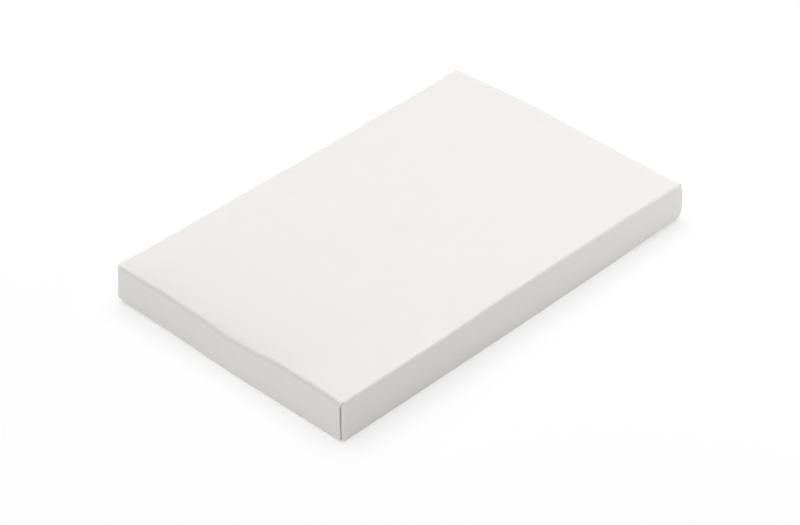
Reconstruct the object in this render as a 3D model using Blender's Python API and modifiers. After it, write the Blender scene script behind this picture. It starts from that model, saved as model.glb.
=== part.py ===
"""Slim straight tuck-end carton of white folding boxboard, lying flat with both ends tucked shut.

The real carton is one die-cut, creased sheet. Each panel of the sheet is a piece here: five panels make
the sleeve, and at each end a closure panel, its tuck flap and two dust flaps turn on their creases.
Lengths are in metres, +Z is up, +X runs along the carton, and the origin lies under its centre.
"""

import math

import bmesh
import bpy
from mathutils import Vector

# Outside size of the closed carton
LENGTH = 0.150
WIDTH = 0.095
HEIGHT = 0.014

# The board, its folds and the clearance between separate panels
BOARD = 0.00045
FOLD_INNER_RADIUS = 0.0004
GAP = 0.0003
FOLD_STEPS = 4

# Closure panels, and the tuck flaps on their lower creases
CLOSURE_SIDE_INSET = 0.0015
TUCK_SIDE_INSET = 0.002
TUCK_LENGTH = 0.008
TUCK_LIFT = math.radians(5)
TUCK_CORNER_RADIUS = 0.006

# Dust flaps: their feet clear the tuck flap, their upper edges are cut back and then taper
DUST_LENGTH = 0.022
DUST_FOOT_ROOM = 0.0006
DUST_SHOULDER = 0.0015
DUST_TIP_SHARE = 0.57
DUST_LOW_CORNER_SHARE = 0.22
DUST_HIGH_CORNER_SHARE = 0.5

# Glue flap, bonded inside the back panel: clear of the roof and of the dust flaps' swing
GLUE_TOP_ROOM = 0.0015
GLUE_END_ROOM = 0.0045
GLUE_SLANT = 0.0025

# Points along each rounded corner of a cut outline
CORNER_STEPS = 8

# Finish of the coated white side
BOARD_WHITE = (0.86, 0.85, 0.84)
BOARD_ROUGHNESS = 0.62

# Sizes that follow from the ones above
FOLD_RADIUS = FOLD_INNER_RADIUS + BOARD
CREASE_GAP_ANGLE = GAP / (FOLD_INNER_RADIUS + BOARD / 2)
FOLD_SWEEP = math.pi / 2 - CREASE_GAP_ANGLE
SEAT = BOARD + GAP
FOLD_PIVOT = BOARD + GAP / 2
HALF_LENGTH = LENGTH / 2
HALF_WIDTH = WIDTH / 2
CLOSURE_HALF_WIDTH = HALF_WIDTH - CLOSURE_SIDE_INSET
TUCK_HALF_WIDTH = HALF_WIDTH - TUCK_SIDE_INSET
DUST_FOOT = SEAT + BOARD + DUST_FOOT_ROOM
DUST_HEAD = HEIGHT - BOARD - GAP

# Turns that lay a piece's own X, Y and Z along the carton's axes
ALONG_X = (math.pi / 2, 0, math.pi / 2)
ALONG_Y = (-math.pi / 2, -math.pi / 2, 0)
ALONG_Z = (0, 0, 0)


def clear_scene():
    """Empties the scene."""
    for obj in list(bpy.data.objects):
        bpy.data.objects.remove(obj, do_unlink=True)


def new_collection(name):
    """Makes the collection that holds the pieces."""
    collection = bpy.data.collections.new(name)
    bpy.context.scene.collection.children.link(collection)
    return collection


def board_material(name):
    """White coated boxboard for one piece."""
    material = bpy.data.materials.new(name)
    material.use_nodes = True
    shader = material.node_tree.nodes["Principled BSDF"]
    shader.inputs["Base Color"].default_value = (*BOARD_WHITE, 1)
    shader.inputs["Roughness"].default_value = BOARD_ROUGHNESS
    shader.inputs["Metallic"].default_value = 0
    return material


def place(collection, name, data, location, turn, parent=None):
    """Puts a piece, or with no data an empty, into the collection."""
    obj = bpy.data.objects.new(name, data)
    obj.location = location
    obj.rotation_euler = turn
    obj.parent = parent
    if data:
        data.materials.append(board_material(name + "_board"))
    collection.objects.link(obj)
    return obj


def arc(centre, start, end):
    """Outer line of a fold, from one angle to another about its centre."""
    points = []
    for step in range(FOLD_STEPS + 1):
        angle = start + (end - start) * step / FOLD_STEPS
        points.append((centre[0] + FOLD_RADIUS * math.cos(angle), centre[1] + FOLD_RADIUS * math.sin(angle)))
    return points


def folded_line(low, high, level):
    """Outer line of a panel facing the second axis, with the fold at each end that it carries."""
    top = math.pi / 2
    first = arc((low + FOLD_RADIUS, level - FOLD_RADIUS), top + FOLD_SWEEP, top)
    last = arc((high - FOLD_RADIUS, level - FOLD_RADIUS), top, top - FOLD_SWEEP)
    return first + last


def turned(line):
    """The same line turned by half a circle, so that its panel faces the other way."""
    return [(-first, -second) for first, second in line]


def folded_board(name, line, low, high):
    """Board with its outer side on the left of a line, drawn along the piece's own Z."""
    bm = bmesh.new()
    verts = [bm.verts.new((first, second, low)) for first, second in line]
    edges = [bm.edges.new(pair) for pair in zip(verts, verts[1:])]
    grown = bmesh.ops.extrude_edge_only(bm, edges=edges)["geom"]
    drawn = [item for item in grown if isinstance(item, bmesh.types.BMVert)]
    bmesh.ops.translate(bm, verts=drawn, vec=(0, 0, high - low))
    mesh = bpy.data.meshes.new(name)
    bm.to_mesh(mesh)
    bm.free()
    return mesh


def thicken(obj):
    """Gives an open surface the board's thickness, behind its outer side."""
    solidify = obj.modifiers.new("board", "SOLIDIFY")
    solidify.thickness = BOARD
    solidify.offset = -1
    solidify.use_even_offset = True


def rounded(corners):
    """Outline through corners given as a place and a radius, each one turned on its radius."""
    outline = []
    for index, (first, second, radius) in enumerate(corners):
        corner = Vector((first, second))
        if not radius:
            outline.append(corner)
            continue
        back = (Vector(corners[index - 1][:2]) - corner).normalized()
        ahead = (Vector(corners[(index + 1) % len(corners)][:2]) - corner).normalized()
        half = back.angle(ahead) / 2
        centre = corner + (back + ahead).normalized() * (radius / math.sin(half))
        reach = radius / math.tan(half)
        start = (corner + back * reach - centre).normalized()
        end = (corner + ahead * reach - centre).normalized()
        for step in range(CORNER_STEPS + 1):
            outline.append(centre + start.slerp(end, step / CORNER_STEPS) * radius)
    return outline


def flat_board(name, corners):
    """Flat board cut to an outline, lying about the piece's own XY plane."""
    outline = rounded(corners)
    curve = bpy.data.curves.new(name, "CURVE")
    curve.dimensions = "2D"
    curve.fill_mode = "BOTH"
    curve.extrude = BOARD / 2
    spline = curve.splines.new("POLY")
    spline.points.add(len(outline) - 1)
    for point, place_on_outline in zip(spline.points, outline):
        point.co = (*place_on_outline, 0, 1)
    spline.use_cyclic_u = True
    return curve


def add_sleeve(collection):
    """Top, bottom, front and back panels, and the glue flap that closes them into a sleeve."""
    roof = folded_line(-HALF_WIDTH, HALF_WIDTH, HEIGHT)
    roof_end = HALF_LENGTH - FOLD_RADIUS
    top = folded_board("top_panel", roof, -roof_end, roof_end)
    thicken(place(collection, "top_panel", top, (0, 0, 0), ALONG_X))

    floor = turned(folded_line(SEAT - HALF_WIDTH, HALF_WIDTH, 0))
    bottom = folded_board("bottom_panel", floor, -HALF_LENGTH, HALF_LENGTH)
    thicken(place(collection, "bottom_panel", bottom, (0, 0, 0), ALONG_X))

    side_end = HALF_LENGTH - SEAT
    side_head = HEIGHT - FOLD_RADIUS
    side = folded_line(-side_end, side_end, HALF_WIDTH)
    front = folded_board("front_side_panel", turned(side), FOLD_RADIUS, side_head)
    thicken(place(collection, "front_side_panel", front, (0, 0, 0), ALONG_Z))
    back = folded_board("back_side_panel", side, GAP, side_head)
    thicken(place(collection, "back_side_panel", back, (0, 0, 0), ALONG_Z))

    glue_foot_end = HALF_LENGTH - GLUE_END_ROOM
    glue_head_end = glue_foot_end - GLUE_SLANT
    glue_head = HEIGHT - GLUE_TOP_ROOM
    glue = flat_board(
        "glue_flap",
        [
            (FOLD_RADIUS, -glue_foot_end, 0),
            (glue_head, -glue_head_end, 0),
            (glue_head, glue_head_end, 0),
            (FOLD_RADIUS, glue_foot_end, 0),
        ],
    )
    place(collection, "glue_flap", glue, (0, HALF_WIDTH - SEAT - BOARD / 2, 0), ALONG_Y)


def add_closure(collection, end_name, end):
    """Closure panel turning on its upper crease, with the tuck flap turning on its lower one."""
    hinge = place(collection, end_name + "_closure_hinge", None, (0, 0, HEIGHT), ALONG_Z, end)
    line = turned(folded_line(-HEIGHT, -SEAT, 0))
    panel_name = end_name + "_closure_panel"
    panel = folded_board(panel_name, line, -CLOSURE_HALF_WIDTH, CLOSURE_HALF_WIDTH)
    thicken(place(collection, panel_name, panel, (0, 0, -HEIGHT), ALONG_Y, hinge))

    lower = (FOLD_PIVOT, 0, SEAT + FOLD_PIVOT - HEIGHT)
    lift = (0, -TUCK_LIFT, 0)
    lower_hinge = place(collection, end_name + "_tuck_hinge", None, lower, lift, hinge)
    flap_name = end_name + "_tuck_flap"
    flap = flat_board(
        flap_name,
        [
            (FOLD_RADIUS, -TUCK_HALF_WIDTH, 0),
            (TUCK_LENGTH, -TUCK_HALF_WIDTH, TUCK_CORNER_RADIUS),
            (TUCK_LENGTH, TUCK_HALF_WIDTH, TUCK_CORNER_RADIUS),
            (FOLD_RADIUS, TUCK_HALF_WIDTH, 0),
        ],
    )
    place(collection, flap_name, flap, (-FOLD_PIVOT, 0, BOARD / 2 - FOLD_PIVOT), ALONG_Z, lower_hinge)


def add_dust_flap(collection, flap_name, side, end):
    """Dust flap behind the closure panel, turning on the upright crease of a side panel."""
    tip_foot = DUST_FOOT + (DUST_LENGTH - FOLD_RADIUS) * math.tan(TUCK_LIFT)
    shoulder_reach = FOLD_RADIUS + DUST_SHOULDER
    shoulder_head = DUST_HEAD - DUST_SHOULDER
    tip = (shoulder_head - tip_foot) * DUST_TIP_SHARE
    corners = [
        (side * (HALF_WIDTH - FOLD_RADIUS), DUST_FOOT, 0),
        (side * (HALF_WIDTH - DUST_LENGTH), tip_foot, tip * DUST_LOW_CORNER_SHARE),
        (side * (HALF_WIDTH - DUST_LENGTH), tip_foot + tip, tip * DUST_HIGH_CORNER_SHARE),
        (side * (HALF_WIDTH - shoulder_reach), shoulder_head, 0),
        (side * (HALF_WIDTH - FOLD_RADIUS), DUST_HEAD, 0),
    ]
    pivot = Vector((SEAT + FOLD_PIVOT, side * (HALF_WIDTH - FOLD_PIVOT), HEIGHT / 2))
    hinge = place(collection, flap_name + "_hinge", None, pivot, ALONG_Z, end)
    middle = Vector((SEAT + BOARD / 2, 0, 0))
    place(collection, flap_name, flat_board(flap_name, corners), middle - pivot, ALONG_X, hinge)


def add_end(collection, end_name, middle, turn, sides):
    """One closed end, modelled with X running into the carton from its end plane."""
    end = place(collection, end_name + "_end", None, middle, turn)
    add_closure(collection, end_name, end)
    for side_name, side in sides:
        add_dust_flap(collection, end_name + "_" + side_name + "_dust_flap", side, end)


def main():
    """Builds the closed carton."""
    clear_scene()
    collection = new_collection("folding_carton")
    add_sleeve(collection)
    add_end(collection, "left", (-HALF_LENGTH, 0, 0), ALONG_Z, (("front", -1), ("back", 1)))
    add_end(collection, "right", (HALF_LENGTH, 0, 0), (0, 0, math.pi), (("front", 1), ("back", -1)))


main()
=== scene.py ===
"""Looks of a slim white tuck-end carton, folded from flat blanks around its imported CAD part."""

import bisect
import logging
import math
from collections.abc import Callable, Sequence
from dataclasses import dataclass
from enum import Enum

import bmesh
import bpy
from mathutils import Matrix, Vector, noise


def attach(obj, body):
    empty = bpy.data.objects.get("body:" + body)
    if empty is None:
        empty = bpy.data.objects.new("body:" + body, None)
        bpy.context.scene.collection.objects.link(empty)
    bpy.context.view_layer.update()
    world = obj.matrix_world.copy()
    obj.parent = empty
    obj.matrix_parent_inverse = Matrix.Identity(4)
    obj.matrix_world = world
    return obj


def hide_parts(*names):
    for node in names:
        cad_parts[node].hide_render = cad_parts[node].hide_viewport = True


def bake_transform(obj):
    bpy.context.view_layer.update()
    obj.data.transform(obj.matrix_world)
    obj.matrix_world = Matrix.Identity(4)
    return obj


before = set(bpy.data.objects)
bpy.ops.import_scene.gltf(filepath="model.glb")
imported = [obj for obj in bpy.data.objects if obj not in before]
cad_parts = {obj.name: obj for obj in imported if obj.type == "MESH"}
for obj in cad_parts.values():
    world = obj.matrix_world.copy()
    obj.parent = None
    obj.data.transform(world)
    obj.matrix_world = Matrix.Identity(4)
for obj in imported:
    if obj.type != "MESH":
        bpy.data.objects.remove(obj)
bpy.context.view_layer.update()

LOG = logging.getLogger("carton")

MM = 0.001
QUARTER_TURN = math.pi / 2
CREASE_ROWS = 12
CLIMB_ROWS = 6
CORNER_ROWS = 9
BLANK_UV = "blank"
FOLD_ATTRIBUTE = "fold"
SOIL_AND_SHADE_ATTRIBUTE = "soil_and_shade"


class Side(Enum):
    """Long side of the carton, by the sign of its Y."""

    FRONT = -1
    BACK = 1


class End(Enum):
    """Short end of the carton, by the sign of its X."""

    LEFT = -1
    RIGHT = 1


class Layer(Enum):
    """Faces of a piece of board, in the order of its material slots."""

    COATED = 0
    INNER = 1
    CUT = 2


@dataclass(frozen=True)
class CartonSize:
    """Sizes of the carton, in metres.

    Attributes:
        length: Outside length along X.
        width: Outside width along Y.
        height: Outside height along Z.
        board: Thickness of the board.
        fold_radius: Outside radius of the lower folds.
        top_radius: Outside radius of the upper folds.
        corner_cut: Distance from the middle line at which the closures' upper folds end.
        closure_reach: How far the closures' own board reaches into the top panel.
        seat: Depth at which one panel lies behind another.
        raw_edge_lift: Height of the back panel's raw lower edge.
        pitch: Size of the cells that flat board is cut into.
    """

    length: float = 150 * MM
    width: float = 95 * MM
    height: float = 14 * MM
    board: float = 0.45 * MM
    fold_radius: float = 0.85 * MM
    top_radius: float = 0.7 * MM
    corner_cut: float = 46.9 * MM
    closure_reach: float = 15 * MM
    seat: float = 0.6 * MM
    raw_edge_lift: float = 0.25 * MM
    pitch: float = 1.2 * MM

    @property
    def half_length(self) -> float:
        """Distance of an end plane from the middle."""
        return self.length / 2

    @property
    def half_width(self) -> float:
        """Distance of a side's outer face from the middle."""
        return self.width / 2


def add_object(name: str, data: bpy.types.ID) -> bpy.types.Object:
    """Adds an object to the scene.

    Args:
        name: Name of the object.
        data: Its mesh, camera or lamp.

    Returns:
        The object.
    """
    obj = bpy.data.objects.new(name, data)
    bpy.context.scene.collection.objects.link(obj)
    return obj


def add_mesh(name: str, bm: bmesh.types.BMesh, *materials: bpy.types.Material) -> bpy.types.Object:
    """Adds an object to the scene from a bmesh, which it frees.

    Args:
        name: Name of the object.
        bm: The bmesh.
        *materials: Materials in the order of their slots.

    Returns:
        The object.
    """
    mesh = bpy.data.meshes.new(name)
    bm.to_mesh(mesh)
    bm.free()
    for material in materials:
        mesh.materials.append(material)
    return add_object(name, mesh)


def smooth_step(low: float, high: float, value: float) -> float:
    """Smooth rise of a value, from 0 at the low one to 1 at the high one."""
    share = min(max((value - low) / (high - low), 0), 1)
    return share * share * (3 - 2 * share)


@dataclass(frozen=True)
class Push:
    """One soft push on the board, strongest at its centre.

    Attributes:
        shift: Shift at the centre, in mm.
        centre: The centre, in mm.
        reach: Distances at which the push has faded to about a third, in mm; 0 for no fading.
        power: How flat its middle and how steep its flanks are along each axis.
    """

    shift: tuple[float, float, float]
    centre: tuple[float, float, float]
    reach: tuple[float, float, float]
    power: tuple[float, float, float] = (2, 2, 2)

    def moved(self, point: Vector) -> Vector:
        """Shift of one point.

        Args:
            point: Place in the carton's frame, in metres.

        Returns:
            The shift in metres.
        """
        fading = 0.0
        for place, middle, reach, power in zip(point, self.centre, self.reach, self.power):
            if reach:
                fading += abs((place / MM - middle) / reach) ** power
        return Vector(self.shift) * (MM * math.exp(-fading))


PUSHES = (
    # Left crease and closure
    Push((0, 0, -0.3), (-75, -3, 14), (7.5, 13, 7), (2, 4, 2)),
    Push((0, 0, -0.8), (-75, -3, 14), (1.7, 12, 7), (2, 4, 2)),
    Push((0.05, 0, 0.55), (-75, -31, 14), (9, 12, 8), (2, 4, 2)),
    Push((0, 0, 0.15), (-75, 28, 14), (9, 9, 8)),
    Push((0, 0, 0.26), (-75, 26, 14), (2, 3.5, 8)),
    Push((0, 0, -0.26), (-75, 15.5, 14), (2, 4, 8)),
    Push((0, 0, 0.2), (-75, -11, 14), (2, 10, 8), (2, 4, 2)),
    Push((0.05, 0, 0), (-75, 0, 14), (5, 60, 5), (2, 4, 2)),
    Push((-0.95, 0, 0), (-75, -22, 0), (5, 40, 8), (2, 4, 2)),
    # Lower corner at the far left
    Push((-0.05, 0.6, 0.75), (-75, 47.5, 0), (5, 16, 8)),
    Push((-0.1, 0.3, 0), (-75, 47.5, 0), (6, 14, 0)),
    # Bulge of the top, back upper crease and back right corner
    Push((0, 0, 1.35), (75, 15, 14), (22, 28, 8)),
    Push((0, 0, 0.25), (0, 47.5, 14), (0, 20, 8)),
    Push((-0.25, 0.35, 0), (75, 47.5, 14), (35, 20, 0)),
    # Near right corner
    Push((0.7, 0, 0), (75, -47.5, 7), (35, 40, 0)),
    Push((1.25, 0, 0), (75, -47.5, 6.5), (6, 18, 6.5), (2, 2, 4)),
    Push((0, 0, 1.2), (75, -47.5, 0), (22, 25, 8)),
    Push((0, 0, -0.65), (75, -47.5, 14), (14, 24, 8)),
    # Front side's long creases
    Push((0, 0.4, 0.25), (32, -47.5, 14), (55, 5, 5), (8, 2, 2)),
    Push((0, -0.4, 0), (-40, -47.5, 0), (60, 6, 7), (4, 2, 2)),
)


@dataclass(frozen=True)
class Settling:
    """How the handled board has sunk, bowed and softened, as smooth shifts of the whole carton.

    Attributes:
        size: Sizes of the carton.
        pushes: The soft pushes.
        wave: Height of the faint waves in the panels.
        wave_length: Length of those waves.
        wave_start: Share of the height at which they set in.
        ripple: Size of the uneven places along the long upper creases.
        left_ripple: Their size along the more worn left crease.
        ripple_length: Length of those places.
        ripple_reach: Distance from the crease at which they fade.
        fineness: How much smaller the finest uneven places are.
        fine_share: Their size as a share of the others.
        soil_and_shade_reach: Distance from the left crease over which its greyer, handled strip fades.
        soil_and_shade_middle: Place along the crease of that strip's middle.
        soil_and_shade_full: Half length of its full strength.
        soil_and_shade_end: Half length at which it is faintest.
        soil_and_shade_loss: Share of its strength lost there.
        soil_and_shade_depth: Depth below the top at which the strip has ended.
        line: Strength of the grey line pressed in below the left crease.
        line_depth: Depth of that line below the top.
        line_reach: Its half width.
        slit_shade: Strength of the grey lines that the closures' cut sides have rubbed on the dust flaps.
        slit_shade_place: Distance of those lines from the middle line at the top.
        slit_shade_slant: How much further out they run for each length further down.
        slit_shade_fade: Depth below the upper fold over which they set in.
        slit_shade_reach: Their half width.
        slit_shade_foot: Height at which they end.
    """

    size: CartonSize
    pushes: tuple[Push, ...] = PUSHES
    wave: float = 0.09 * MM
    wave_length: float = 34 * MM
    wave_start: float = 0.1
    ripple: float = 0.16 * MM
    left_ripple: float = 0.3 * MM
    ripple_length: float = 6 * MM
    ripple_reach: float = 1.6 * MM
    fineness: float = 2.7
    fine_share: float = 0.65
    # soil_and_shade_reach: Distance from the left crease over which its strip of handled grey and painted
    # shade fades. soil_and_shade_middle: Place along the crease of that strip's middle. soil_and_shade_full:
    # Half length of its full strength. soil_and_shade_end: Half length at which it is faintest.
    # soil_and_shade_loss: Share of its strength lost there. soil_and_shade_depth: Depth below the top at
    # which the strip has ended.
    soil_and_shade_reach: float = 13 * MM
    soil_and_shade_middle: float = 6 * MM
    soil_and_shade_full: float = 25 * MM
    soil_and_shade_end: float = 46 * MM
    soil_and_shade_loss: float = 0.7
    soil_and_shade_depth: float = 1 * MM
    # line: Strength of the painted shade line below the left crease.
    line: float = 0.7
    line_depth: float = 1.2 * MM
    line_reach: float = 0.7 * MM
    # slit_shade: Strength of the painted shade on the dust flaps in the slits beside the closures' cut
    # sides. slit_shade_place: Distance of those slits from the middle line at the top. slit_shade_slant: How
    # much further out they run for each length further down. slit_shade_fade: Depth below the upper fold
    # over which they set in. slit_shade_reach: Their half width. slit_shade_foot: Height at which they end.
    slit_shade: float = 7.0
    slit_shade_place: float = 45.95 * MM
    slit_shade_slant: float = 0.055
    slit_shade_fade: float = 3 * MM
    slit_shade_reach: float = 0.28 * MM
    slit_shade_foot: float = 1 * MM

    def moved(self, point: Vector) -> Vector:
        """Shifts a point of the board to where it has settled.

        Args:
            point: Place in the carton's frame.

        Returns:
            The settled place.
        """
        place = point.copy()
        for push in self.pushes:
            place += push.moved(point)
        level = point.z / self.size.height
        middle = max(math.cos(math.pi * point.y / self.size.width), 0) ** 2
        waves = noise.noise(Vector((point.x, point.y, 0)) / self.wave_length)
        place.z += self.wave * waves * middle * smooth_step(self.wave_start, 1, level)
        return place + self._crumpled(point)

    def _crumpled(self, point: Vector) -> Vector:
        """Uneven places along the upper creases.

        Args:
            point: Place in the carton's frame.

        Returns:
            The shift.
        """
        below = self.size.height - point.z
        shift = Vector((0, 0, 0))
        borders = (
            (self.size.half_width - abs(point.y), Vector((0, math.copysign(1, point.y), 1)), self.ripple),
            (self.size.half_length + point.x, Vector((-1, 0, 1)), self.left_ripple),
        )
        for away, outward, size in borders:
            near = math.exp(-(away * away + below * below) / self.ripple_reach**2)
            coarse = noise.noise(point / self.ripple_length)
            fine = noise.noise(point / self.ripple_length * self.fineness)
            shift += outward * (size * near * (coarse + self.fine_share * fine))
        return shift

    def soiled_and_shaded(self, point: Vector) -> float:
        """How much the board is darkened, by handled grey and painted shade.

        Args:
            point: Place in the carton's frame.

        Returns:
            1 at the left crease, fading to 0 away from it, as handled grey mixed with painted shade; with
            the painted shade line below the crease and the painted shade in the slits on the dust flaps.
        """
        away = point.x + self.size.half_length
        below = self.size.height - point.z
        lost = self.soil_and_shade_loss * smooth_step(self.soil_and_shade_full, self.soil_and_shade_end, abs(point.y - self.soil_and_shade_middle))
        # Painted shade line just below the left crease
        off_line = (below - self.line_depth) / self.line_reach
        line = math.exp(-(off_line**2)) if away < self.line_reach else 0
        # Strip of handled grey mixed with painted shade along the left crease
        above = math.exp(-max(away, 0) / self.soil_and_shade_reach) * (1 - lost)
        return above * (1 - smooth_step(0, self.soil_and_shade_depth, below)) + self.line * line + self._slit_shade(point)

    def _slit_shade(self, point: Vector) -> float:
        """Painted shade on a dust flap in the narrow slit beside a closure's cut side.

        Args:
            point: Place in the carton's frame.

        Returns:
            The strength in the middle of the line, fading to 0 beside it and off the flap.
        """
        below = self.size.height - self.size.top_radius - point.z
        if self.size.half_length - abs(point.x) < self.size.seat / 2 or point.z < self.slit_shade_foot:
            return 0.0
        aside = abs(point.y) - self.slit_shade_place - self.slit_shade_slant * below
        return self.slit_shade * smooth_step(0, self.slit_shade_fade, below) * math.exp(-((aside / self.slit_shade_reach) ** 2))


@dataclass(frozen=True)
class Leg:
    """One stretch of a folded section.

    Attributes:
        length: Length along the board's outer side.
        turn: Angle turned over that length, towards the inner side.
        steps: Number of rows that the stretch is cut into.
        folded: 0 for flat board, else how worn its crease is, up to 1.
    """

    length: float
    turn: float = 0.0
    steps: int = 1
    folded: float = 0.0


def flat(length: float, pitch: float, turn: float = 0.0) -> Leg:
    """Flat or gently curved stretch in rows of at most the pitch."""
    return Leg(length, turn, max(math.ceil(length / pitch), 1))


def crease(radius: float, turn: float = QUARTER_TURN, wear: float = 0.7) -> list[Leg]:
    """A fold whose first and last rows are short, so that it shades into its neighbours.

    Args:
        radius: Outside radius.
        turn: Angle of the fold.
        wear: How worn the crease is, from 0 to 1.

    Returns:
        The legs of the fold.
    """
    ease = math.radians(1)
    body = turn - 2 * ease
    short = Leg(radius * ease, ease, 1, wear)
    return [short, Leg(radius * body, body, CREASE_ROWS, wear), short]


def rounded_tip(length: float, radius: float, pitch: float) -> list[Leg]:
    """Stretch up to a free edge with rounded corners, with rows close together where they round.

    Args:
        length: Length of the stretch.
        radius: Radius of the corners.
        pitch: Largest length of a row before the corners.

    Returns:
        The legs of the stretch.
    """
    places = [radius * math.sin(QUARTER_TURN * row / CORNER_ROWS) for row in range(CORNER_ROWS + 1)]
    corner = [Leg(after - before) for before, after in zip(places, places[1:])]
    return [flat(length - radius, pitch), *corner]


def corner_inset(distance: float, radius: float) -> float:
    """How far a rounded corner draws a side in at a distance from the free edge."""
    inside = min(max(radius - distance, 0), radius)
    return radius - math.sqrt(radius * radius - inside * inside)


@dataclass(frozen=True)
class Station:
    """One row of a folded section.

    Attributes:
        run: Length along the outer side from the section's start.
        first: Place along the section's first axis.
        second: Place along its second axis.
        heading: Angle of the line there.
        folded: 0 off a crease, else how worn it is.
    """

    run: float
    first: float
    second: float
    heading: float
    folded: float = 0.0

    def behind(self, depth: float) -> tuple[float, float]:
        """Place in the section's plane at a depth behind the outer side."""
        return (self.first + depth * math.sin(self.heading), self.second - depth * math.cos(self.heading))


class Section:
    """Line of the board's outer side, walked leg by leg with that side on its left."""

    def __init__(self, start: tuple[float, float], heading: float) -> None:
        """Starts the line at a place, in the direction of an angle."""
        self.stations = [Station(0.0, start[0], start[1], heading)]

    def walk(self, legs: Sequence[Leg]) -> int:
        """Adds legs to the line.

        Args:
            legs: Stretches in order.

        Returns:
            Index of the row at their end.
        """
        for leg in legs:
            step = leg.length / leg.steps
            half = leg.turn / leg.steps / 2
            chord = step * math.sin(half) / half if half else step
            for _ in range(leg.steps):
                back = self.stations[-1]
                angle = back.heading - half
                first = back.first + chord * math.cos(angle)
                second = back.second + chord * math.sin(angle)
                self.stations.append(Station(back.run + step, first, second, angle - half, leg.folded))
        return len(self.stations) - 1


@dataclass(frozen=True)
class Placement:
    """Place of a section in the carton.

    Attributes:
        first: Direction of its first axis.
        second: Direction of its second axis.
        origin: Where the section's own zero lies.
    """

    first: Vector
    second: Vector
    origin: Vector = Vector((0, 0, 0))

    @property
    def third(self) -> Vector:
        """Direction across the section's plane."""
        return self.first.cross(self.second)

    def at(self, place: tuple[float, float], across: float = 0.0) -> Vector:
        """Point in the carton's frame, from a place in the section's plane and one across it."""
        return self.origin + self.first * place[0] + self.second * place[1] + self.third * across


class Socket:
    """Output of a shader node, with arithmetic."""

    def __init__(self, shader: "ShaderGraph", output: bpy.types.NodeSocket) -> None:
        """Wraps an output of one of a graph's nodes."""
        self.shader = shader
        self.output = output

    def __add__(self, other: "Socket | float") -> "Socket":
        """Sum of two values."""
        return self.shader.math("ADD", self, other)

    def __mul__(self, other: "Socket | float") -> "Socket":
        """Product of two values."""
        return self.shader.math("MULTIPLY", self, other)

    def __sub__(self, other: "Socket | float") -> "Socket":
        """Difference of two values."""
        return self.shader.math("SUBTRACT", self, other)

    def over(self, threshold: "Socket | float") -> "Socket":
        """1 above the threshold, else 0."""
        return self.shader.math("GREATER_THAN", self, threshold)


class ShaderGraph:
    """Node tree of a material or of the surroundings."""

    def __init__(self, owner: bpy.types.Material | bpy.types.World) -> None:
        """Starts from Blender's default nodes.

        Args:
            owner: What the nodes belong to.
        """
        owner.use_nodes = True
        self.owner = owner
        self.tree = owner.node_tree
        self.surface = self.tree.nodes.get("Principled BSDF")

    def node(
        self, kind: str, output: str | int, settings: dict[str, object] | None = None, **inputs: object
    ) -> Socket:
        """Makes a node.

        Args:
            kind: Blender's type name of the node.
            output: The output that is used.
            settings: Values of the node's own settings.
            **inputs: Values or sockets of its inputs; a name starting with "at" is a position.

        Returns:
            The chosen output.
        """
        node = self.tree.nodes.new(kind)
        for key, value in (settings or {}).items():
            setattr(node, key, value)
        for key, value in inputs.items():
            self.feed(node.inputs[int(key[2:]) if key[2:].isdigit() else key], value)
        return Socket(self, node.outputs[output])

    def feed(self, target: bpy.types.NodeSocket, value: object) -> None:
        """Links a socket to an input, or sets the input's value.

        Args:
            target: The input.
            value: Socket or plain value.
        """
        if isinstance(value, Socket):
            self.tree.links.new(value.output, target)
        else:
            target.default_value = value

    def math(self, operation: str, first: Socket | float, second: Socket | float) -> Socket:
        """Result of Blender's operation of that name on two values."""
        return self.node("ShaderNodeMath", 0, {"operation": operation}, at0=first, at1=second)

    def noise(self, place: Socket, cell: float, detail: float) -> Socket:
        """Soft noise of about -0.5 to 0.5, with cells of that size and so many finer layers."""
        return self.node("ShaderNodeTexNoise", "Fac", Vector=place, Scale=1 / cell, Detail=detail) - 0.5

    def mix(self, factor: Socket, first: object, second: object) -> Socket:
        """Mix of two colours by the share of the second."""
        return self.node("ShaderNodeMix", 2, {"data_type": "RGBA"}, at0=factor, at6=first, at7=second)

    def dress(self, values: dict[str, object]) -> None:
        """Feeds the inputs of the surface by their names."""
        for name, value in values.items():
            self.feed(self.surface.inputs[name], value)


def rgba(colour: tuple[float, float, float], gain: float = 1.0) -> tuple[float, float, float, float]:
    """Colour with full alpha, its red, green and blue times a gain."""
    return (colour[0] * gain, colour[1] * gain, colour[2] * gain, 1.0)


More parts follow.
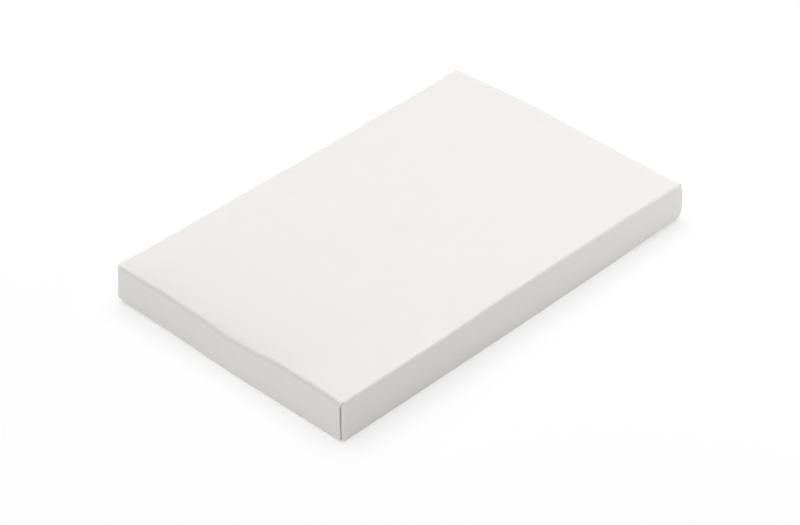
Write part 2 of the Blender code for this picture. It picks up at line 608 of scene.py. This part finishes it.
@dataclass(frozen=True)
class BoardFinish:
    """Finish of one face of the board.

    Attributes:
        name: Name of the material.
        colour: Base colour.
        roughness: Mean roughness.
        mottle: Strength of the cloudy variation of colour.
        cloud: Size of the clouds.
        fibre: Width of the fibres that make the finest relief.
        fibre_depth: Depth of that relief.
        stretch: How much longer than wide the fibres are.
        wear: Strength of the scuffs on folds, and of their pale crease whitening with painted highlight.
        soil_and_shade: Strength of the darkening by handled grey and painted shade.
        speck: Strength of the rare dark specks.
        speck_radius: Radius of a speck.
        speck_spacing: Distance between specks.
        speck_gain: Brightness of a speck.
        mottle_gains: Brightness of the darkest clouds and of the lightest.
        whitening_highlight_fold: How worn a fold is before it turns pale, with crease whitening and a
            painted highlight.
        whitening_highlight_gain: Brightness of that pale, highlighted fold.
        scuff_level: Height of the noise above which a fold is scuffed.
        scuff_gain: Brightness of a scuff.
        chip_level: Height of the noise above which its coating is chipped.
        chip_gain: Brightness of a chip.
        cloud_roughness: Change of roughness with the clouds.
        fibre_roughness: Change of roughness with the fibres.
        cloud_relief: Height of the clouds in the relief.
        scuff_relief: Height of the worn places in it.
    """

    name: str
    colour: tuple[float, float, float]
    roughness: float
    mottle: float
    cloud: float
    fibre: float
    fibre_depth: float
    stretch: float
    wear: float = 0.0
    soil_and_shade: float = 0.0
    speck: float = 0.0
    speck_radius: float = 0.13 * MM
    speck_spacing: float = 26 * MM
    speck_gain: float = 0.5
    mottle_gains: tuple[float, float] = (0.97, 1.03)
    whitening_highlight_fold: float = 0.85
    whitening_highlight_gain: float = 1.1
    scuff_level: float = 0.11
    scuff_gain: float = 0.93
    chip_level: float = 0.2
    chip_gain: float = 1.16
    cloud_roughness: float = 0.08
    fibre_roughness: float = 0.05
    cloud_relief: float = 0.6
    scuff_relief: float = 2.0

    def material(self) -> bpy.types.Material:
        """Builds the finish.

        Returns:
            The material.
        """
        shader = ShaderGraph(bpy.data.materials.new(self.name))
        blank = shader.node("ShaderNodeUVMap", "UV", {"uv_map": BLANK_UV})
        along = shader.node("ShaderNodeMapping", "Vector", Vector=blank, Scale=(1, 1 / self.stretch, 1))
        folded = shader.node("ShaderNodeAttribute", "Fac", {"attribute_name": FOLD_ATTRIBUTE})
        soiled_and_shaded = shader.node("ShaderNodeAttribute", "Fac", {"attribute_name": SOIL_AND_SHADE_ATTRIBUTE})
        clouds = shader.noise(blank, self.cloud, detail=3.0)
        fibres = shader.noise(along, self.fibre, detail=3.0)
        crumbs = shader.noise(blank, self.fibre * 2, detail=1.0)
        cells = shader.node("ShaderNodeTexVoronoi", "Distance", Vector=blank, Scale=1 / self.speck_spacing)
        specks = shader.math("LESS_THAN", cells, self.speck_radius / self.speck_spacing)
        tint = clouds * self.mottle + fibres * (self.mottle / 2) + 0.5
        colour = shader.mix(tint, *(rgba(self.colour, gain) for gain in self.mottle_gains))
        for share, gain in (
            (specks * self.speck, self.speck_gain),
            # Pale folds: crease whitening together with a painted highlight
            (folded.over(self.whitening_highlight_fold) * self.wear, self.whitening_highlight_gain),
            (crumbs.over(self.scuff_level) * folded * self.wear, self.scuff_gain),
            (crumbs.over(self.chip_level) * folded * self.wear, self.chip_gain),
        ):
            colour = shader.mix(share, colour, rgba(self.colour, gain))
        # Darkens toward black: handled grey with painted shade near the left crease, a painted shade line
        # below it, and painted shade in the slits on the dust flaps
        colour = shader.mix(soiled_and_shaded * (clouds + 1) * self.soil_and_shade, colour, rgba(self.colour, 0.0))
        roughness = clouds * self.cloud_roughness + fibres * self.fibre_roughness + self.roughness
        relief = fibres + clouds * self.cloud_relief + crumbs * folded * self.wear * self.scuff_relief
        bump = shader.node("ShaderNodeBump", 0, Height=relief, Distance=self.fibre_depth)
        shader.dress({"Base Color": colour, "Roughness": roughness, "Metallic": 0.0, "Normal": bump})
        return shader.owner


COATED_FINISH = BoardFinish(
    "coated_white",
    colour=(0.84, 0.8235, 0.803),
    roughness=0.55,
    mottle=0.5,
    cloud=7 * MM,
    fibre=0.25 * MM,
    fibre_depth=0.006 * MM,
    stretch=3.0,
    wear=0.6,
    soil_and_shade=0.085,
    speck=0.5,
)
INNER_FINISH = BoardFinish(
    "uncoated_inner",
    colour=(0.80, 0.78, 0.745),
    roughness=0.82,
    mottle=0.9,
    cloud=4 * MM,
    fibre=0.3 * MM,
    fibre_depth=0.018 * MM,
    stretch=4.0,
    wear=0.3,
    speck=0.6,
)
CUT_FINISH = BoardFinish(
    "cut_edge",
    colour=(0.79, 0.775, 0.745),
    roughness=0.88,
    mottle=1.2,
    cloud=1.2 * MM,
    fibre=0.12 * MM,
    fibre_depth=0.03 * MM,
    stretch=6.0,
)


@dataclass(frozen=True)
class Workshop:
    """What every piece of board is made with.

    Attributes:
        size: Sizes of the carton.
        settling: How the board has settled.
        finishes: Materials, one for each layer.
    """

    size: CartonSize
    settling: Settling
    finishes: tuple[bpy.types.Material, ...]

    def fold_piece(
        self,
        name: str,
        stations: Sequence[Station],
        placement: Placement,
        cut: Callable[[Station], tuple[float, float]],
        shape: Callable[[Vector], Vector] = Vector.copy,
        pitch: float | None = None,
    ) -> bpy.types.Object:
        """Cuts a flat blank, folds it along a section and gives it the board's thickness.

        Args:
            name: Name of the piece.
            stations: Rows of the outer side.
            placement: Place of the section.
            cut: Lower and upper end of the blank at a row.
            shape: What softens the folded piece before it settles.
            pitch: Width of its columns, if not the usual one.

        Returns:
            The piece.
        """
        rows = len(stations) - 1
        widest = max(high - low for low, high in map(cut, stations))
        bm = bmesh.new()
        columns = math.ceil(widest / (pitch or self.size.pitch))
        bmesh.ops.create_grid(bm, x_segments=columns, y_segments=rows, size=0.5)
        uv_layer = bm.loops.layers.uv.new(BLANK_UV)
        fold_layer = bm.verts.layers.float.new(FOLD_ATTRIBUTE)
        soil_and_shade_layer = bm.verts.layers.float.new(SOIL_AND_SHADE_ATTRIBUTE)
        flat_place: dict[bmesh.types.BMVert, tuple[float, float]] = {}
        # The grid runs from -0.5 to 0.5, with the rows along Y and the columns along X
        for vert in bm.verts:
            station = stations[round((vert.co.y + 0.5) * rows)]
            low, high = cut(station)
            across = low + (high - low) * (vert.co.x + 0.5)
            flat_place[vert] = (across, station.run)
            vert[fold_layer] = station.folded
            place = shape(placement.at((station.first, station.second), across))
            # Darkening by handled grey and painted shade
            vert[soil_and_shade_layer] = self.settling.soiled_and_shaded(place)
            vert.co = self.settling.moved(place)
        for face in bm.faces:
            for loop in face.loops:
                loop[uv_layer].uv = flat_place[loop.vert]
        bm.normal_update()
        self._thicken(bm)
        LOG.info("%s: %d rows, %d columns", name, rows, columns)
        return add_mesh(name, bm, *self.finishes)

    def _thicken(self, bm: bmesh.types.BMesh) -> None:
        """Gives the outer side of a blank its thickness, and its layers their materials.

        Args:
            bm: The folded outer side.
        """
        outer = set(bm.faces)
        rim_verts = set(bm.verts)
        # The old faces stay the outer side, the new ones are the inner side and the rim
        bmesh.ops.solidify(bm, geom=list(bm.faces), thickness=self.size.board)
        for face in bm.faces:
            face.smooth = True
            if face in outer:
                face.material_index = Layer.COATED.value
            elif any(vert in rim_verts for vert in face.verts):
                face.material_index = Layer.CUT.value
            else:
                face.material_index = Layer.INNER.value
        for edge in bm.edges:
            edge.smooth = len({face.material_index for face in edge.link_faces}) == 1


class Outline:
    """Half length of a sheet, noted along its run."""

    def __init__(self) -> None:
        """Starts without notes."""
        self.knots: list[tuple[float, float]] = []

    def note(self, run: float, half: float) -> None:
        """Notes the sheet's half length at a length along the section."""
        self.knots.append((run, half))

    def ends(self, station: Station) -> tuple[float, float]:
        """Ends of the sheet at a row.

        Args:
            station: The row.

        Returns:
            Lower and upper end.
        """
        after = min(max(bisect.bisect(self.knots, (station.run,)), 1), len(self.knots) - 1)
        (run_before, half_before), (run_after, half_after) = self.knots[after - 1 : after + 1]
        share = min((station.run - run_before) / (run_after - run_before), 1)
        half = half_before + (half_after - half_before) * share
        return (-half, half)


@dataclass(frozen=True)
class SideCut:
    """Distances of one cut side of a closure panel from the carton's middle line.

    Attributes:
        face: Just below the upper fold.
        foot: At the lower fold.
    """

    face: float
    foot: float


CLOSURE_CUTS: dict[tuple[End, Side], SideCut] = {
    (End.LEFT, Side.FRONT): SideCut(45.9 * MM, 46.55 * MM),
    (End.LEFT, Side.BACK): SideCut(47.5 * MM, 47.6 * MM),
    (End.RIGHT, Side.FRONT): SideCut(47.05 * MM, 47.05 * MM),
    (End.RIGHT, Side.BACK): SideCut(45.7 * MM, 45.7 * MM),
}


@dataclass(frozen=True)
class Sleeve:
    """Glue flap, bottom, front side, top and back side, one sheet wound round the carton.

    Attributes:
        workshop: What the board is made with.
        glue_head: Height of the glue flap's free edge.
        glue_end: Distance of the glue flap's ends from the end planes at its crease.
        glue_slant: Further cut-back at its free edge.
        bottom_end: Distance of the bottom panel's ends from the end planes, behind the closures' folds.
        corner_slant: Share of an upper fold over which its ends draw back behind the upright folds.
    """

    workshop: Workshop
    glue_head: float = 12.5 * MM
    glue_end: float = 4.5 * MM
    glue_slant: float = 2.5 * MM
    bottom_end: float = 1.7 * MM
    corner_slant: float = 0.07

    def build(self) -> None:
        """Builds the sleeve."""
        size = self.workshop.size
        radius = size.fold_radius
        pitch = size.pitch
        half = size.half_length
        section = Section((size.half_width - size.seat, self.glue_head), -QUARTER_TURN)
        outline = Outline()

        def walk(legs: Sequence[Leg], half_after: float, *webs: tuple[float, float]) -> None:
            """Walks some legs and notes the outline over them.

            Args:
                legs: The legs.
                half_after: Half length of the sheet at their end.
                *webs: Shares of the way with the half lengths there.
            """
            run = section.stations[-1].run
            length = section.stations[section.walk(legs)].run - run
            for share, half_there in (*webs, (1.0, half_after)):
                outline.note(run + length * share, half_there)

        side = half - size.seat - radius
        outline.note(0.0, half - self.glue_end - self.glue_slant)
        walk([flat(self.glue_head - radius, pitch)], half - self.glue_end)
        bottom = half - self.bottom_end
        walk(crease(radius), bottom)
        walk([flat(size.width - size.seat - 2 * radius, pitch)], bottom)
        walk(crease(radius), side, (self.corner_slant, side))
        walk([flat(size.height - radius - size.top_radius, pitch)], side)
        corner = half - size.top_radius
        beyond = size.corner_cut - (size.half_width - size.top_radius)
        at_cut = math.acos(beyond / size.top_radius) / QUARTER_TURN
        draw_back = at_cut - self.corner_slant
        walk(crease(size.top_radius), corner - beyond, (draw_back, side), (at_cut, corner))
        self._walk_top(section, outline)
        walk(crease(size.top_radius), side, (1 - at_cut, corner), (1 - draw_back, side))
        walk([flat(size.height - size.top_radius - size.raw_edge_lift, pitch)], side)

        placement = Placement(Vector((0, 1, 0)), Vector((0, 0, 1)))
        obj = self.workshop.fold_piece("sleeve", section.stations, placement, outline.ends)
        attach(obj, "sleeve")
        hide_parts("top_panel", "bottom_panel", "front_side_panel", "back_side_panel", "glue_flap")

    def _walk_top(self, section: Section, outline: Outline) -> None:
        """Walks the top panel from front to back, leaving out the places of the closures' own board.

        Args:
            section: The section.
            outline: The outline, added to.
        """
        size = self.workshop.size
        fold_end = size.half_width - size.top_radius
        depth = size.closure_reach - size.top_radius
        turn = size.corner_cut - depth
        place = -fold_end
        for after in (-turn, turn, fold_end):
            walked = section.walk([flat(after - place, size.pitch)])
            border = size.half_length - size.top_radius - min(size.corner_cut - abs(after), depth)
            outline.note(section.stations[walked].run, border)
            place = after


@dataclass(frozen=True)
class TuckEnd:
    """Closure panel and tuck flap of one end.

    Attributes:
        workshop: What the board is made with.
        end: Which end.
        narrowing: Share of the upper fold at which its cut sides start to draw in or out.
        narrowed: Length below the fold over which they go on.
        softened: Length before the upper fold over which the top has closer rows.
        groove: Angle by which the upper fold turns too far, and the panel back again below it.
        groove_length: Length over which the panel turns back.
        bend_inside: Distance before the upper crease of a point that is worked out but not used.
        bend_below: Distance beyond the crease of a second such point, also not used.
        sag: Height of the lower fold's lowest line.
        climb: Angle at which the tuck flap climbs over the bottom panel's end.
        climb_length: Length over which it bends back from that.
        tuck_half: Distance of the tuck flap's cut sides from the middle line.
        tuck_length: Length of the tuck flap from its fold.
        tuck_lift: Angle by which its tip stands up.
        tuck_corner: Radius of its tip corners.
        seam_height: Length of the panel that goes with the tuck flap's piece.
        droop: Share of the sleeve's upper radius that the upper fold's ends follow down.
    """

    workshop: Workshop
    end: End
    narrowing: float = 0.45
    narrowed: float = 2.2 * MM
    softened: float = 2.8 * MM
    groove: float = math.radians(10)
    groove_length: float = 2.2 * MM
    bend_inside: float = 0.5 * MM
    bend_below: float = 1 * MM
    sag: float = 0.15 * MM
    climb: float = math.radians(42)
    climb_length: float = 1.5 * MM
    tuck_half: float = 45.5 * MM
    tuck_length: float = 7 * MM
    tuck_lift: float = math.radians(5)
    tuck_corner: float = 5 * MM
    seam_height: float = 2.5 * MM
    droop: float = 0.95

    def build(self) -> None:
        """Builds the closure panel and the tuck flap."""
        size = self.workshop.size
        radius = size.fold_radius
        pitch = size.pitch
        face = size.height - self.sag - radius - size.top_radius
        section = Section((-size.closure_reach, size.height), 0.0)
        inner = flat(size.closure_reach - size.top_radius - self.softened, pitch)
        upper_start = section.walk([inner, flat(self.softened, pitch / 3)])
        upper_end = section.walk(crease(size.top_radius, QUARTER_TURN + self.groove))
        groove = flat(self.groove_length, pitch / 4, -self.groove)
        seam = section.walk([groove, flat(face - self.seam_height - self.groove_length, pitch / 2)])
        lower_start = section.walk([flat(self.seam_height, pitch / 2)])
        lower_end = section.walk(crease(radius, QUARTER_TURN + self.climb))
        section.walk([Leg(self.climb_length, self.tuck_lift - self.climb, CLIMB_ROWS)])
        tip = section.walk(rounded_tip(self.tuck_length - self.climb_length, self.tuck_corner, pitch))
        bounds = (upper_start, upper_end, lower_start, lower_end, tip)
        top_run, face_run, foot_run, flap_run, tip_run = (section.stations[row].run for row in bounds)
        narrowed_run = face_run + self.narrowed

        outward = Vector((self.end.value, 0, 0))
        placement = Placement(outward, Vector((0, 0, 1)), outward * size.half_length)

        def half(run: float, cut: SideCut) -> float:
            """Distance of a cut side from the middle line at a row.

            Args:
                run: Length along the section.
                cut: The cut side.

            Returns:
                The distance.
            """
            # In the top panel its sides run at 45 degrees, as the sleeve's ends do there
            if run <= top_run:
                return size.corner_cut - (top_run - run)
            if run <= narrowed_run:
                start = top_run + (face_run - top_run) * self.narrowing
                return size.corner_cut + (cut.face - size.corner_cut) * smooth_step(start, narrowed_run, run)
            if run <= foot_run:
                return cut.face + (cut.foot - cut.face) * (run - narrowed_run) / (foot_run - narrowed_run)
            narrowed = cut.foot + (self.tuck_half - cut.foot) * smooth_step(foot_run, flap_run, run)
            return narrowed - corner_inset(tip_run - run, self.tuck_corner)

        def cut(station: Station) -> tuple[float, float]:
            """Ends of the panel or flap at a row.

            Args:
                station: The row.

            Returns:
                Lower and upper end.
            """
            front, back = (half(station.run, CLOSURE_CUTS[self.end, side]) for side in Side)
            return (-front, back) if placement.third.y > 0 else (-back, front)

        label = self.end.name.lower()
        fold_piece = self.workshop.fold_piece
        closure = fold_piece(f"{label}_closure", section.stations[: seam + 1], placement, cut, self._drooped)
        tuck = fold_piece(f"{label}_tuck", section.stations[seam:], placement, cut)
        around = (-self.bend_inside, self.bend_below)
        upper = [placement.at((place, size.height - place)) for place in around]
        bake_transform(closure)
        lower = [placement.at(section.stations[row].behind(size.board)) for row in (lower_start, lower_end)]
        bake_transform(tuck)
        for obj, node in ((closure, "closure_panel"), (tuck, "tuck_flap")):
            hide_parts(f"{label}_{node}")

    def _drooped(self, place: Vector) -> Vector:
        """Lowers the ends of the upper fold to the rounding of the sleeve's upper folds.

        Args:
            place: Place on the folded board.

        Returns:
            The lowered place.
        """
        size = self.workshop.size
        radius = size.top_radius
        beyond = min(max(abs(place.y) - (size.half_width - radius), 0), self.droop * radius)
        drop = radius - math.sqrt(radius * radius - beyond * beyond)
        return place - Vector((0, 0, drop * smooth_step(size.height - radius, size.height, place.z)))


@dataclass(frozen=True)
class DustFlap:
    """Flap folded in from a side panel behind a closure.

    Attributes:
        workshop: What the board is made with.
        end: Which end.
        side: Which side.
        length: Reach from the side's outer face.
        fold_low: Height of the fold's lower end.
        corner_gap: Gap between the fold's rounded ends and the closure's folds.
        pitch: Size of the cells along the fold.
        notch: Height of its lower edge just beside the fold.
        notch_slope: Slope of that edge as far as the foot.
        foot: Height of its lower edge behind the tuck flap's fold.
        foot_slope: Slope of that edge.
        head: Height of its upper edge at the crease.
        shoulder: Cut-back at its head.
        tip_head: Height of its upper edge at the tip.
        corner: Radius of its tip corners.
        least_share: Share of a full rounding below which the fold's end has none.
    """

    workshop: Workshop
    end: End
    side: Side
    length: float = 22 * MM
    fold_low: float = 0.45 * MM
    corner_gap: float = 0.05 * MM
    pitch: float = 0.25 * MM
    notch: float = 0.9 * MM
    notch_slope: float = 0.67
    foot: float = 1.8 * MM
    foot_slope: float = math.tan(math.radians(5))
    head: float = 13.44 * MM
    shoulder: float = 1.5 * MM
    tip_head: float = 8.3 * MM
    corner: float = 1.6 * MM
    least_share: float = 0.02

    def build(self) -> None:
        """Builds the flap with its fold."""
        size = self.workshop.size
        radius = size.fold_radius
        section = Section((-size.seat - radius, 0.0), 0.0)
        # Full wear turns this fold pale, with crease whitening and a painted highlight
        end = section.walk(crease(radius, wear=1.0))
        fold_end = section.stations[end].run
        flap = self.length - radius
        beside = flat(self.shoulder, size.pitch / 8)
        section.walk([beside, *rounded_tip(flap - self.shoulder, self.corner, size.pitch)])
        tip = section.stations[-1].run

        outward = Vector((self.end.value, 0, 0))
        sideways = Vector((0, self.side.value, 0))
        corner_place = outward * size.half_length + sideways * size.half_width
        placement = Placement(outward, sideways, corner_place)

        def cut(station: Station) -> tuple[float, float]:
            """Ends of the flap at a row.

            Args:
                station: The row.

            Returns:
                Lower and upper end.
            """
            reach = station.run - fold_end
            if reach < 0:
                low, high = self._fold_ends(station)
            else:
                low = min(self.notch + self.notch_slope * reach, self.foot + self.foot_slope * reach)
                slope = (self.head - self.shoulder - self.tip_head) / (flap - self.shoulder)
                high = self.head - min(reach, self.shoulder) - slope * max(reach - self.shoulder, 0)
            inset = corner_inset(tip - station.run, self.corner)
            ends = (low + inset, high - inset)
            return ends if placement.third.z > 0 else (-ends[1], -ends[0])

        name = f"{self.end.name}_{self.side.name}_dust".lower()
        obj = self.workshop.fold_piece(name, section.stations, placement, cut, self._rounded, self.pitch)
        bend = [placement.at(section.stations[row].behind(size.board)) for row in (0, end)]
        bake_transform(obj)
        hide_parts(f"{name}_flap")

    def _fold_ends(self, station: Station) -> tuple[float, float]:
        """Ends of the fold at a row, measured on the flat blank.

        Args:
            station: The row.

        Returns:
            Lower and upper end, at which the rounded fold stays clear of the closure's folds.
        """
        size = self.workshop.size
        sideways = 1 + station.second / size.fold_radius
        (low_radius, low_angle), (high_radius, high_angle) = self._roundings(sideways)
        low = low_radius * (1 - low_angle) if low_radius else self.fold_low
        high = size.height - high_radius * (1 - high_angle) if high_radius else self.head
        return (low, high)

    def _roundings(self, sideways: float) -> list[tuple[float, float]]:
        """Roundings of the fold's two ends where it faces a direction.

        Args:
            sideways: Share of the direction that points to the carton's side.

        Returns:
            Radius and angle of the lower rounding and of the upper one, with radius 0 for none.
        """
        size = self.workshop.size
        roundings = []
        for bound, radius in (
            (CLOSURE_CUTS[self.end, self.side].foot, size.fold_radius),
            (size.corner_cut, size.top_radius),
        ):
            kept = bound + self.corner_gap - (size.half_width - size.fold_radius)
            widest = size.fold_radius - kept
            inset = size.fold_radius - kept / sideways if min(kept, sideways) > 0 else 0
            share = inset / widest if min(widest, inset) > 0 else 0
            angle = math.acos(1 - min(max(widest / radius, 0), 1))
            roundings.append((radius * share if share > self.least_share else 0, angle))
        return roundings

    def _rounded(self, place: Vector) -> Vector:
        """Rounds the flap's ends in under the corner of the top panel and over that of the bottom one.

        Args:
            place: Place on the folded flap.

        Returns:
            The rounded place.
        """
        size = self.workshop.size
        outward = place.x - self.end.value * (size.half_length - size.seat - size.fold_radius)
        sideways = place.y - self.side.value * (size.half_width - size.fold_radius)
        direction = Vector((outward, self.side.value * max(sideways * self.side.value, 0), 0)).normalized()
        (low_radius, _), (high_radius, _) = self._roundings(abs(direction.y))
        bases = ((high_radius, size.height - high_radius, 1), (low_radius, low_radius, -1))
        for radius, base, sign in bases:
            beyond = (place.z - base) * sign
            if radius and beyond > 0:
                angle = beyond / radius
                inset = direction * (radius * (1 - math.cos(angle)))
                return Vector((place.x, place.y, base + sign * radius * math.sin(angle))) - inset
        return place


@dataclass(frozen=True)
class Camera:
    """Camera of the photo.

    Attributes:
        azimuth: Angle round the carton.
        elevation: Angle above the floor.
        distance: Distance along the line of sight.
        right: Shift of the aim to the right.
        up: Shift of the aim upward.
        lens: Focal length in mm.
        sensor: Width of the sensor in mm.
    """

    azimuth: float = math.radians(-46.15)
    elevation: float = math.radians(36.42)
    distance: float = 887.4 * MM
    right: float = -1.545 * MM
    up: float = -0.495 * MM
    lens: float = 129.24
    sensor: float = 36.0

    def build(self) -> None:
        """Places the camera and makes it the scene's."""
        data = bpy.data.cameras.new("camera")
        data.lens = self.lens
        data.sensor_width = self.sensor
        obj = add_object("camera", data)
        obj.rotation_euler = (QUARTER_TURN - self.elevation, 0, self.azimuth)
        obj.location = obj.rotation_euler.to_matrix() @ Vector((self.right, self.up, self.distance))
        bpy.context.scene.camera = obj


@dataclass(frozen=True)
class Softbox:
    """Large soft lamp.

    Attributes:
        name: Name of the lamp.
        place: Where it hangs.
        width: Side of its square.
        power: Power in watts.
    """

    name: str
    place: Vector
    width: float
    power: float

    def build(self) -> None:
        """Hangs the lamp, facing the carton."""
        data = bpy.data.lights.new(self.name, "AREA")
        data.shape = "SQUARE"
        data.size = self.width
        data.energy = self.power
        obj = add_object(self.name, data)
        obj.location = self.place
        obj.rotation_euler = self.place.to_track_quat("Z", "Y").to_euler()


@dataclass(frozen=True)
class Studio:
    """White floor, soft light and white surroundings.

    Attributes:
        floor_half: Half the floor's side.
        floor_white: Share of plain white in what the camera sees of the floor.
        floor_colour: Colour of the floor.
        floor_roughness: Its roughness.
        surround: Strength of the surroundings as light.
        lamps: The softboxes.
    """

    floor_half: float = 3.0
    floor_white: float = 0.5
    floor_colour: tuple[float, float, float] = (0.96, 0.96, 0.96)
    floor_roughness: float = 0.9
    surround: float = 0.281
    lamps: tuple[Softbox, ...] = (
        Softbox("overhead", Vector((0, 0, 1.3)), 1.6, 12.2),
        Softbox("back", Vector((0, 0.8, 1)), 1.0, 3.6),
        Softbox("right_back", Vector((0.7, 0.3, 0.8)), 0.9, 1.74),
        Softbox("left", Vector((-0.7, 0.15, 0.35)), 0.4, 0.75),
        Softbox("right", Vector((0.28, -0.2, 0.12)), 0.15, 0.214),
    )

    def build(self) -> None:
        """Builds floor, surroundings and lamps."""
        bpy.context.scene.view_settings.view_transform = "Standard"
        self._floor()
        self._world()
        for lamp in self.lamps:
            lamp.build()

    def _floor(self) -> bpy.types.Object:
        """Builds a floor that shows as white but keeps the shadow.

        Returns:
            The floor.
        """
        bm = bmesh.new()
        bmesh.ops.create_grid(bm, x_segments=1, y_segments=1, size=self.floor_half)
        shader = ShaderGraph(bpy.data.materials.new("floor"))
        matt = {"Roughness": self.floor_roughness, "Specular IOR Level": 0.0}
        shader.dress({"Base Color": rgba(self.floor_colour), **matt})
        seen = shader.node("ShaderNodeLightPath", "Is Camera Ray")
        white = shader.node("ShaderNodeEmission", 0, Strength=1.0)
        lit = Socket(shader, shader.surface.outputs[0])
        both = shader.node("ShaderNodeMixShader", 0, at0=seen * self.floor_white, at1=lit, at2=white)
        shader.feed(shader.tree.nodes["Material Output"].inputs["Surface"], both)
        return add_mesh("floor", bm, shader.owner)

    def _world(self) -> None:
        """Surroundings that light the carton softly and show as white."""
        shader = ShaderGraph(bpy.data.worlds.new("surroundings"))
        seen = shader.node("ShaderNodeLightPath", "Is Camera Ray")
        strength = seen * (1 - self.surround) + self.surround
        background = shader.node("ShaderNodeBackground", 0, Strength=strength)
        shader.feed(shader.tree.nodes["World Output"].inputs["Surface"], background)
        bpy.context.scene.world = shader.owner


def main() -> None:
    """Builds the carton's looks and the studio round it."""
    logging.basicConfig(level=logging.INFO, format="%(name)s: %(message)s")
    size = CartonSize()
    finishes = tuple(finish.material() for finish in (COATED_FINISH, INNER_FINISH, CUT_FINISH))
    workshop = Workshop(size, Settling(size), finishes)
    Sleeve(workshop).build()
    for end in End:
        TuckEnd(workshop, end).build()
        for side in Side:
            DustFlap(workshop, end, side).build()
    Studio().build()
    Camera().build()


if __name__ == "__main__":
    main()
